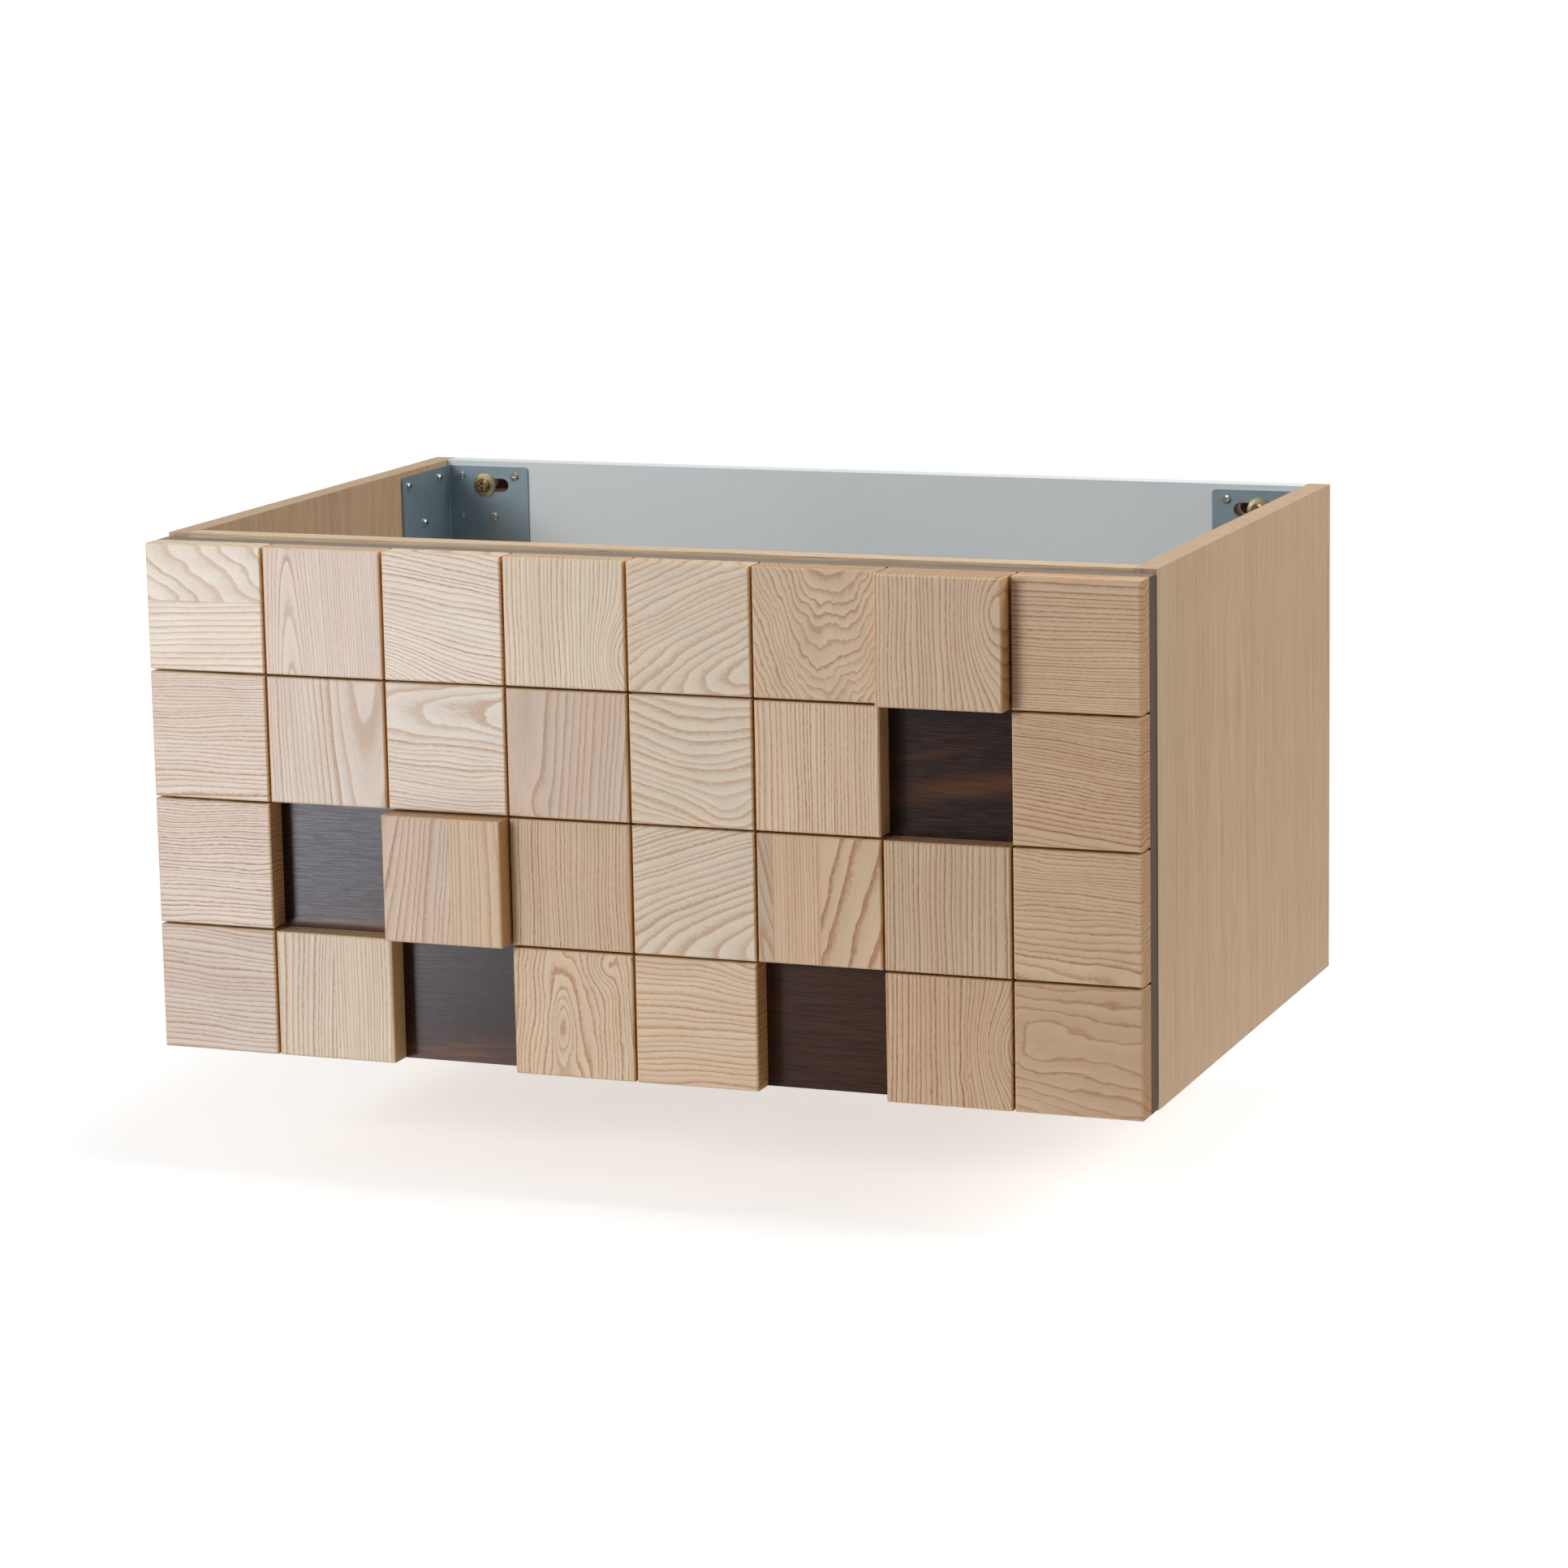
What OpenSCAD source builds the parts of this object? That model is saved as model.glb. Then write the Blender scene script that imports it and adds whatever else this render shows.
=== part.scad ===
// Wall-hung washbasin cabinet with one full-height drawer.
//
// The carcass is four boards and a top rail, open above for the basin. The drawer runs on
// ball-bearing runners, and its front is a dark carrier board faced with solid ash blocks:
// four places of the grid are left open and two blocks stand proud as grips. Two folded
// steel brackets hang the cabinet on a pair of wall screws.
//
// Millimetres. +Z is up, the front faces -Y, and the origin is at the middle of the base of
// the overall box, wall screws included.

/* [Cabinet] */
// Width of the cabinet and of its front
cabinet_w = 800; // [760:10:1200]
// Height of the side panels
cabinet_h = 402; // [380:1:440]
// Depth of the side panels, from front edge to wall
cabinet_d = 490; // [490:5:560]
// Thickness of the cabinet's boards
board_t = 18; // [16:1:19]
// Height of the rail across the top of the front
rail_h = 80; // [70:5:90]
// Width of the pipe opening in the back panel
pipe_opening_w = 300; // [200:10:320]
// Height of the pipe opening in the back panel
pipe_opening_h = 170; // [100:10:180]

/* [Block front] */
// Blocks in a row
columns = 8; // [7:1:12]
// Rows of blocks
rows = 4; // [4:1:5]
// Gap between neighbouring blocks
block_gap = 1.8; // [1:0.1:4]
// Thickness of a block
block_t = 20; // [14:1:30]
// How much thicker the two grip blocks are
grip_proud = 15; // [5:1:25]
// Chamfer round a block's face
block_chamfer = 1.2; // [0.5:0.1:3]
// Thickness of the dark carrier board
carrier_t = 16; // [12:1:19]
// Gap between the carrier and the cabinet's front edges
front_gap = 3; // [2:0.5:4]
// Distance from the top of the side panels down to the front
front_drop = 3; // [2:0.5:6]
// Distance from the bottom of the side panels up to the front
front_lift = 1; // [0:0.5:4]

/* [Hanging brackets] */
// Thickness of the bracket's steel
bracket_t = 2; // [1.5:0.5:3]
// Height of a bracket
bracket_h = 86; // [84:1:100]
// Width of the flange on the back panel
back_flange = 76; // [74:1:90]
// Depth of the flange on the side panel
side_flange = 94; // [90:1:110]
// Distance from the top of the side panels down to the bracket
bracket_drop = 4.5; // [3:0.5:12]
// Length of a wall-screw slot, end to end
slot_l = 28; // [20:1:30]
// Half the width of a wall-screw slot
slot_r = 5.8; // [4.5:0.1:6.5]
// How far the wall screws stand out behind the cabinet
screw_tail = 48; // [30:1:80]

/* [Drawer] */
// Height of the drawer box
box_h = 210; // [150:10:220]
// Underside of the drawer box above the base
box_z = 36; // [30:1:45]
// Thickness of the drawer box's upright boards
box_t = 15; // [12:1:16]
// Thickness of the drawer's bottom
box_bottom_t = 8; // [6:1:10]
// Width of the space left for the siphon
siphon_w = 240; // [160:10:300]
// Depth of the space left for the siphon
siphon_d = 200; // [120:10:260]
// Length of the runners and of the drawer box
runner_l = 450; // [450:1:460]

/* [Hidden] */
$fn = 48;

// Places in the grid, as [row, column] counted from the top left
OPEN_PLACES = [[2, 7], [3, 2], [4, 3], [4, 6]];
GRIP_PLACES = [[1, 7], [3, 3]];

inner_w = cabinet_w - 2 * board_t;
side_x = inner_w / 2;

// Depths, front to back
overall_d = grip_proud + block_t + carrier_t + front_gap + cabinet_d + screw_tail;
block_y = grip_proud - overall_d / 2;
carrier_y = block_y + block_t;
box_y = carrier_y + carrier_t;
front_y = box_y + front_gap;
wall_y = front_y + cabinet_d;
back_y = wall_y - board_t;

// The front's grid
front_h = cabinet_h - front_drop - front_lift;
block_w = (cabinet_w - (columns - 1) * block_gap) / columns;
block_h = (front_h - (rows - 1) * block_gap) / rows;

// Hidden joints between the boards
dowel_r = 4;
dowel_in_side = 10;
dowel_in_board = 20;
cam_r = 7.5;
cam_face_gap = 0.5;
cam_depth = 13;
cam_inset = 34;
cam_bolt_r = 3;
cam_bolt_hole_r = 4;
cam_bolt_in_side = 11;
FACES_DOWN = [180, 0, 0];
FACES_BACK = [-90, 0, 0];

rail_z = cabinet_h - rail_h;
mid_board = board_t / 2;
// Places of the dowels, as [y, z]
DOWELS = [
    [front_y + 40, mid_board],
    [back_y - 40, mid_board],
    [back_y + mid_board, 70],
    [back_y + mid_board, 270],
    [front_y + mid_board, rail_z + 16],
    [front_y + mid_board, cabinet_h - 16]
];
// Places of the cam fittings, as [y, z, the way the cam's face looks]
CAMS = [
    [front_y + 90, mid_board, FACES_DOWN],
    [back_y - 90, mid_board, FACES_DOWN],
    [back_y + mid_board, 120, FACES_BACK],
    [back_y + mid_board, 220, FACES_BACK],
    [front_y + mid_board, rail_z + rail_h / 2, FACES_BACK]
];

// Soft stops on the front edges
bumper_r = 5;
bumper_air = 0.2;
BUMPER_HEIGHTS = [50, cabinet_h - 50];

pipe_opening_z = 150;
pipe_opening_r = 15;

// Bracket holes, as distances from the fold and from mid height
bracket_z = cabinet_h - bracket_drop - bracket_h / 2;
bend_r = 3;
plate_corner_r = 3;
hole_row = bracket_h / 2 - 8;
slot_row = bracket_h / 2 - 16;
slot_x = 44;
wall_screw_x = slot_x - slot_l / 2 + slot_r;
BACK_SCREWS = [[14, hole_row], [64, hole_row], [slot_x, 0], [14, -hole_row], [64, -hole_row]];
SPARE_HOLE = [14, 0];
SIDE_SCREWS = [[22, hole_row], [83, hole_row], [53, 0], [22, -hole_row], [83, -hole_row]];

// Small screws
screw_r = 2;
screw_hole_r = 2.2;
screw_head_r = 3.6;
screw_head_h = 2.2;
bracket_screw_l = 15;
recess_w = 0.8;
recess_l = 4.2;
recess_d = 1.2;

// Wall screws and washers
washer_r = 10.2;
washer_hole_r = 4.4;
washer_rim = 1.6;
washer_crown_r = 7;
washer_h = 3;
wall_head_r = 6;
wall_head_h = 4.2;
wall_neck_r = 3.4;
wall_thread_r = 4;
wall_point_l = 8;

// Runner section: distances in from the side panel, and half heights
runner_t = 12.7;
steel_t = 1.2;
runner_z = 90;
runner_y = front_y + 3;
cabinet_member = [0, 11.6, 22.75];
middle_member = [2.8, 11, 16.15];
drawer_member = [5.6, runner_t, 9.55];
middle_setback = 10;
ball_r = 2.5;
ball_pitch = 20;
cage_t = 0.8;
cage_l = 180;
// Cages, as [web's place, flange's edge, half height, balls' place, setback]
outer_cage = [1.6, 10, 18.85, 7, 130];
inner_cage = [4.4, 10.6, 12.25, 8, 140];
cabinet_screw_head_r = 3.4;
cabinet_screw_l = 15;
drawer_screw_l = 12;
CABINET_SCREW_PLACES = [35, 225, 400];
DRAWER_SCREW_PLACES = [50, 230, 410];

// Drawer box
box_x = side_x - runner_t;
box_inner_x = box_x - box_t;
groove_d = 6;
bottom_z = box_z + 10;
floor_z = bottom_z + box_bottom_t;
box_top = box_z + box_h;
box_end = box_y + runner_l;
liner_t = 4;
liner_corner_r = 24;
fixing_head_r = 4;
fixing_l = 27;
FIXINGS = [for (x = [-300, 0, 300], z = [box_z + 50, box_top - 45]) [x, z]];

function is_at(place, places) = len([for (p = places) if (p == place) 1]) > 0;
function block_name(place) = str("block_r", place[0], "_c", place[1]);

BLOCKS = [
    for (r = [1:rows], c = [1:columns])
        if (!is_at([r, c], OPEN_PLACES)) [r, c]
];

// ---------------------------------------------------------------- helpers

// Draws its children on the right and again, mirrored, on the left
module both_sides() {
    children();
    mirror([1, 0, 0]) children();
}

// Draws its children, made for the right, on the left
module on_left() {
    mirror([1, 0, 0]) children();
}

// A box given by its lowest and highest corners
module slab(low, high) {
    translate(low) cube(high - low);
}

module rounded_rect(w, h, r) {
    square([w - 2 * r, h], center = true);
    square([w, h - 2 * r], center = true);
    for (x = [-1, 1], y = [-1, 1])
        translate([x * (w / 2 - r), y * (h / 2 - r)]) circle(r);
}

module slot_shape(l, r) {
    square([l - 2 * r, 2 * r], center = true);
    for (x = [-1, 1]) translate([x * (l / 2 - r), 0]) circle(r);
}

// A rod along X from x0 to x1
module rod_x(x0, x1, r) {
    translate([x0, 0, 0]) rotate([0, 90, 0]) cylinder(h = x1 - x0, r = r);
}

// A pan-head screw that points down, its head resting on Z = 0
module pan_screw(head_r, head_h, shank_l) {
    difference() {
        union() {
            cylinder(h = head_h * 0.5, r = head_r);
            translate([0, 0, head_h * 0.5])
                cylinder(h = head_h * 0.5, r1 = head_r, r2 = head_r * 0.65);
        }
        for (turn = [0, 90]) rotate(turn)
            translate([-recess_l / 2, -recess_w / 2, head_h - recess_d])
                cube([recess_l, recess_w, recess_d + 1]);
    }
    translate([0, 0, -shank_l]) cylinder(h = shank_l, r = screw_r);
}

// ---------------------------------------------------------------- block front

// A slab with its front edges chamfered, seen along Z: w wide and t deep from Y = 0
module block_outline(w, t) {
    polygon([
        [-w / 2, t],
        [-w / 2, block_chamfer],
        [block_chamfer - w / 2, 0],
        [w / 2 - block_chamfer, 0],
        [w / 2, block_chamfer],
        [w / 2, t]
    ]);
}

module block(place) {
    proud = is_at(place, GRIP_PLACES) ? grip_proud : 0;
    t = block_t + proud;
    x = -cabinet_w / 2 + (place[1] - 1) * (block_w + block_gap) + block_w / 2;
    z = front_lift + (rows - place[0]) * (block_h + block_gap) + block_h / 2;
    color("burlywood") translate([x, block_y - proud, z])
        intersection() {
            translate([0, 0, -block_h / 2]) linear_extrude(block_h) block_outline(block_w, t);
            rotate([0, 90, 0]) translate([0, 0, -block_w / 2])
                linear_extrude(block_w) block_outline(block_h, t);
        }
}

module front_carrier() {
    color("#3b2a26")
        slab([-cabinet_w / 2, carrier_y, front_lift],
             [cabinet_w / 2, box_y, front_lift + front_h]);
}

// ---------------------------------------------------------------- cabinet boards

// Holes for the dowels and cam bolts, in the right-hand side panel and the boards' right ends
module joint_holes() {
    for (d = DOWELS) translate([side_x, d[0], d[1]])
        rod_x(-dowel_in_board, dowel_in_side, dowel_r);
    for (c = CAMS) translate([side_x, c[0], c[1]]) {
        rod_x(0, cam_bolt_in_side, cam_bolt_r);
        rod_x(-cam_inset, 0, cam_bolt_hole_r);
        translate([-cam_inset, 0, 0]) rotate(c[2])
            translate([0, 0, mid_board - cam_depth]) cylinder(h = cam_depth + 1, r = cam_r);
    }
}

module side_panel() {
    color("tan") difference() {
        slab([side_x, front_y, 0], [cabinet_w / 2, wall_y, cabinet_h]);
        joint_holes();
    }
}

// The wall-screw slots in the right half of the back panel
module wall_slots() {
    for (z = [-slot_row, slot_row])
        translate([side_x - slot_x, wall_y + 1, bracket_z + z])
            rotate([90, 0, 0]) linear_extrude(board_t + 2) slot_shape(slot_l, slot_r);
}

module back_panel() {
    color("gainsboro") difference() {
        slab([-side_x, back_y, board_t], [side_x, wall_y, cabinet_h]);
        both_sides() {
            joint_holes();
            wall_slots();
        }
        translate([0, wall_y + 1, pipe_opening_z]) rotate([90, 0, 0])
            linear_extrude(board_t + 2)
                rounded_rect(pipe_opening_w, pipe_opening_h, pipe_opening_r);
    }
}

module bottom_panel() {
    color("tan") difference() {
        slab([-side_x, front_y, 0], [side_x, wall_y, board_t]);
        both_sides() joint_holes();
    }
}

module front_rail() {
    color("tan") difference() {
        slab([-side_x, front_y, rail_z], [side_x, front_y + board_t, cabinet_h]);
        both_sides() joint_holes();
    }
}

module carcass_dowels() {
    color("wheat") both_sides() for (d = DOWELS) translate([side_x, d[0], d[1]])
        rod_x(-dowel_in_board, dowel_in_side, dowel_r);
}

module cam_fittings() {
    color("silver") both_sides() for (c = CAMS) translate([side_x, c[0], c[1]]) {
        rod_x(-cam_inset, cam_bolt_in_side, cam_bolt_r);
        translate([-cam_inset, 0, 0]) rotate(c[2]) translate([0, 0, mid_board - cam_depth])
            cylinder(h = cam_depth - cam_face_gap, r = cam_r);
    }
}

module front_bumpers() {
    color("whitesmoke") both_sides() for (z = BUMPER_HEIGHTS)
        translate([cabinet_w / 2 - mid_board, front_y, z]) rotate([90, 0, 0])
            cylinder(h = front_gap - bumper_air, r = bumper_r);
}

// ---------------------------------------------------------------- hanging brackets

// A flange from the fold outwards along X, centred on Y = 0, lying on Z = 0
module flange(l, holes) {
    linear_extrude(bracket_t) difference() {
        union() {
            translate([bend_r, -bracket_h / 2]) square([l / 2, bracket_h]);
            translate([(l + bend_r) / 2, 0])
                rounded_rect(l - bend_r, bracket_h, plate_corner_r);
        }
        for (h = holes) translate(h) circle(screw_hole_r);
    }
}

// Moves a piece made for the flange on the back panel to its place, on the right
module on_back_flange() {
    translate([side_x, back_y, bracket_z]) mirror([1, 0, 0]) rotate([90, 0, 0]) children();
}

// Moves a piece made for the flange on the side panel to its place, on the right
module on_side_flange() {
    translate([side_x, back_y, bracket_z]) rotate([90, 0, -90]) children();
}

module hanging_bracket() {
    color("#7f929b") {
        on_back_flange() difference() {
            flange(back_flange, concat(BACK_SCREWS, [SPARE_HOLE]));
            for (z = [-slot_row, slot_row]) translate([slot_x, z, -1])
                linear_extrude(bracket_t + 2) slot_shape(slot_l, slot_r);
        }
        on_side_flange() flange(side_flange, SIDE_SCREWS);
        translate([side_x, back_y, bracket_z - bracket_h / 2]) linear_extrude(bracket_h)
            translate([-bend_r, -bend_r]) intersection() {
                difference() {
                    circle(bend_r);
                    circle(bend_r - bracket_t);
                }
                square(bend_r);
            }
    }
}

module bracket_screws() {
    color("silver") both_sides() {
        on_back_flange() for (p = BACK_SCREWS) translate([p[0], p[1], bracket_t])
            pan_screw(screw_head_r, screw_head_h, bracket_screw_l);
        on_side_flange() for (p = SIDE_SCREWS) translate([p[0], p[1], bracket_t])
            pan_screw(screw_head_r, screw_head_h, bracket_screw_l);
    }
}

// Moves a piece made round Z to a wall screw's place on the bracket, on the right
module on_wall_screw() {
    on_back_flange() translate([wall_screw_x, slot_row, bracket_t]) children();
}

module wall_washers() {
    color("#b9a860") both_sides() on_wall_screw() rotate_extrude() polygon([
        [washer_hole_r, 0],
        [washer_r, 0],
        [washer_r, washer_rim],
        [washer_crown_r, washer_h],
        [washer_hole_r, washer_h]
    ]);
}

module wall_screws() {
    neck_l = washer_h + bracket_t + board_t;
    color("#8a6a45") both_sides() on_wall_screw() translate([0, 0, washer_h]) {
        difference() {
            union() {
                cylinder(h = wall_head_h * 0.6, r = wall_head_r);
                translate([0, 0, wall_head_h * 0.6])
                    cylinder(h = wall_head_h * 0.4, r1 = wall_head_r, r2 = wall_head_r * 0.7);
            }
            for (turn = [0, 90]) rotate(turn)
                translate([-wall_head_r * 0.6, -recess_w, wall_head_h * 0.4])
                    cube([wall_head_r * 1.2, 2 * recess_w, wall_head_h]);
        }
        translate([0, 0, -neck_l]) cylinder(h = neck_l, r = wall_neck_r);
        translate([0, 0, wall_point_l - neck_l - screw_tail])
            cylinder(h = screw_tail - wall_point_l, r = wall_thread_r);
        translate([0, 0, -neck_l - screw_tail])
            cylinder(h = wall_point_l, r1 = 0.6, r2 = wall_thread_r);
    }
}

// ---------------------------------------------------------------- runners

// Draws its children in the right-hand runner's own axes: +X in from the side panel towards
// the drawer, +Y up, and +Z along the runner, from its front end to its rear end
module in_runner(setback) {
    translate([side_x, runner_y + setback, runner_z])
        multmatrix([[-1, 0, 0, 0], [0, 0, 1, 0], [0, 1, 0, 0]]) children();
}

// A channel that opens away from its web. near and far are its edges along X.
module channel(near, far, half_h, t) {
    translate([near, -half_h]) square([t, 2 * half_h]);
    for (y = [-half_h, half_h - t]) translate([near, y]) square([far - near, t]);
}

module cabinet_runner() {
    color("silver") in_runner(0) difference() {
        linear_extrude(runner_l)
            channel(cabinet_member[0], cabinet_member[1], cabinet_member[2], steel_t);
        for (z = CABINET_SCREW_PLACES) translate([0, 0, z])
            rotate([0, 90, 0]) cylinder(h = steel_t, r1 = screw_r, r2 = cabinet_screw_head_r);
    }
}

module middle_runner() {
    color("silver") in_runner(middle_setback) linear_extrude(runner_l - 2 * middle_setback)
        channel(middle_member[0], middle_member[1], middle_member[2], steel_t);
}

module drawer_runner() {
    color("silver") in_runner(0) difference() {
        linear_extrude(runner_l) {
            translate([drawer_member[1] - steel_t, -drawer_member[2]])
                square([steel_t, 2 * drawer_member[2]]);
            for (y = [-drawer_member[2], drawer_member[2] - steel_t])
                translate([drawer_member[0], y])
                    square([drawer_member[1] - drawer_member[0], steel_t]);
        }
        for (z = DRAWER_SCREW_PLACES) translate([0, 0, z])
            rod_x(runner_t - steel_t - 1, runner_t + 1, screw_hole_r);
    }
}

// A thin channel that holds two rows of balls
module ball_cage(cage) {
    ball_count = floor(cage_l / ball_pitch);
    in_runner(cage[4]) {
        linear_extrude(cage_l) channel(cage[0], cage[1], cage[2] + cage_t / 2, cage_t);
        for (i = [0:ball_count - 1], side = [-1, 1])
            translate([cage[3], side * cage[2], ball_pitch * (i + 0.5)]) sphere(ball_r);
    }
}

module outer_ball_cages() {
    color("silver") both_sides() ball_cage(outer_cage);
}

module inner_ball_cages() {
    color("silver") both_sides() ball_cage(inner_cage);
}

module cabinet_runner_screws() {
    color("silver") both_sides() for (z = CABINET_SCREW_PLACES) in_runner(z) {
        rotate([0, 90, 0]) cylinder(h = steel_t, r1 = screw_r, r2 = cabinet_screw_head_r);
        rod_x(-cabinet_screw_l, 0, screw_r);
    }
}

module drawer_runner_screws() {
    color("silver") both_sides() for (z = DRAWER_SCREW_PLACES) in_runner(z)
        translate([runner_t - steel_t, 0, 0]) rotate([0, -90, 0])
            pan_screw(screw_head_r, screw_head_h, drawer_screw_l + steel_t);
}

// ---------------------------------------------------------------- drawer box

// The outline of the siphon's space in plan, grown by a margin, running past the drawer's rear
module siphon_outline(margin) {
    l = 2 * (siphon_d + margin);
    translate([0, box_end]) rounded_rect(siphon_w + 2 * margin, l, liner_corner_r + margin);
}

module drawer_bottom() {
    color("lightgray") difference() {
        slab([-box_inner_x - groove_d, box_y + box_t - groove_d, bottom_z],
             [box_inner_x + groove_d, box_end, floor_z]);
        translate([0, 0, bottom_z - 1]) linear_extrude(box_bottom_t + 2)
            siphon_outline(liner_t);
    }
}

module drawer_side() {
    color("lightgray") difference() {
        slab([box_inner_x, box_y, box_z], [box_x, box_end, box_top]);
        slab([box_inner_x - 1, box_y + box_t - groove_d, bottom_z],
             [box_inner_x + groove_d, box_end + 1, floor_z]);
    }
}

module drawer_inner_front() {
    color("lightgray") difference() {
        slab([-box_inner_x, box_y, box_z], [box_inner_x, box_y + box_t, box_top]);
        slab([-box_inner_x - 1, box_y + box_t - groove_d, bottom_z],
             [box_inner_x + 1, box_y + box_t + 1, floor_z]);
    }
}

module drawer_back() {
    color("lightgray")
        slab([siphon_w / 2 + liner_t, box_end - box_t, floor_z],
             [box_inner_x, box_end, box_top]);
}

module siphon_liner() {
    color("gray") intersection() {
        translate([0, 0, box_z]) linear_extrude(box_h) difference() {
            siphon_outline(liner_t);
            siphon_outline(0);
        }
        slab([-siphon_w, box_end - 2 * siphon_d, box_z], [siphon_w, box_end, box_top]);
    }
}

module front_fixing_screws() {
    color("silver") for (f = FIXINGS) translate([f[0], box_y + box_t, f[1]])
        rotate([-90, 0, 0]) pan_screw(fixing_head_r, screw_head_h, fixing_l);
}

// ---------------------------------------------------------------- nodes

for (place = BLOCKS) block(place);
front_carrier();
on_left() side_panel();  // left_side_panel
side_panel();  // right_side_panel
back_panel();
bottom_panel();
front_rail();
on_left() hanging_bracket();  // left_hanging_bracket
hanging_bracket();  // right_hanging_bracket
bracket_screws();
wall_screws();
wall_washers();
cam_fittings();
carcass_dowels();
front_bumpers();
on_left() cabinet_runner();  // left_cabinet_runner
cabinet_runner();  // right_cabinet_runner
on_left() middle_runner();  // left_middle_runner
middle_runner();  // right_middle_runner
on_left() drawer_runner();  // left_drawer_runner
drawer_runner();  // right_drawer_runner
outer_ball_cages();
inner_ball_cages();
cabinet_runner_screws();
drawer_runner_screws();
on_left() drawer_side();  // left_drawer_side
drawer_side();  // right_drawer_side
drawer_inner_front();
on_left() drawer_back();  // left_drawer_back
drawer_back();  // right_drawer_back
drawer_bottom();
siphon_liner();
front_fixing_screws();
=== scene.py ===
"""Looks for the wall-hung washbasin cabinet with a block front.

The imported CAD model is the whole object. This script gives each of its nodes a procedural
material, rounds its edges, adds the threads of the wall screws, and sets up the floor, the
light and the camera. Lengths in the materials are millimetres; objects are in metres.
"""

import math

import bmesh
import bpy
from mathutils import Matrix, Vector


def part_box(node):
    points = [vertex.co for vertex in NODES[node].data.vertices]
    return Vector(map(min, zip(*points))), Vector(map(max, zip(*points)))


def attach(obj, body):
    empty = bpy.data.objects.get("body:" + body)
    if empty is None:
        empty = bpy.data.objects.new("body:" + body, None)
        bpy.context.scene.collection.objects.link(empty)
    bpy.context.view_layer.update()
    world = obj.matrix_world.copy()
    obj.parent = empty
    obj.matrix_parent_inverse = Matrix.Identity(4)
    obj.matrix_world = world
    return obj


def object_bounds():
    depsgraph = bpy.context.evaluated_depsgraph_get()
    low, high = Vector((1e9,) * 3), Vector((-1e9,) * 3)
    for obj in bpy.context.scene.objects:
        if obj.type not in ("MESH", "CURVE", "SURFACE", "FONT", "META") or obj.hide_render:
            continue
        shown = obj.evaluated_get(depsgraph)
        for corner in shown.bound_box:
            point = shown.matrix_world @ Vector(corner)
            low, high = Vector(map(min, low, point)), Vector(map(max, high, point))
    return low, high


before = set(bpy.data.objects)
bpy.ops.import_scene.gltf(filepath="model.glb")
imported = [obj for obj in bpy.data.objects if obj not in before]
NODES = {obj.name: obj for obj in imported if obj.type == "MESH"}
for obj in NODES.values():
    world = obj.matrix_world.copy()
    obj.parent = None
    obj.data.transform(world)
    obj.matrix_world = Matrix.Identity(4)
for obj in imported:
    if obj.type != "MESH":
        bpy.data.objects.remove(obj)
cad_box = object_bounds()

MM = 0.001


def srgb(red, green, blue):
    """A colour given as 0-255 display values, as linear RGBA."""
    def linear(value):
        value /= 255
        return value / 12.92 if value <= 0.04045 else ((value + 0.055) / 1.055) ** 2.4
    return (linear(red), linear(green), linear(blue), 1.0)


def add_to_scene(name, data):
    """A new object that shows data, linked into the scene."""
    made = bpy.data.objects.new(name, data)
    bpy.context.scene.collection.objects.link(made)
    return made


# ---------------------------------------------------------------- node graphs


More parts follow.
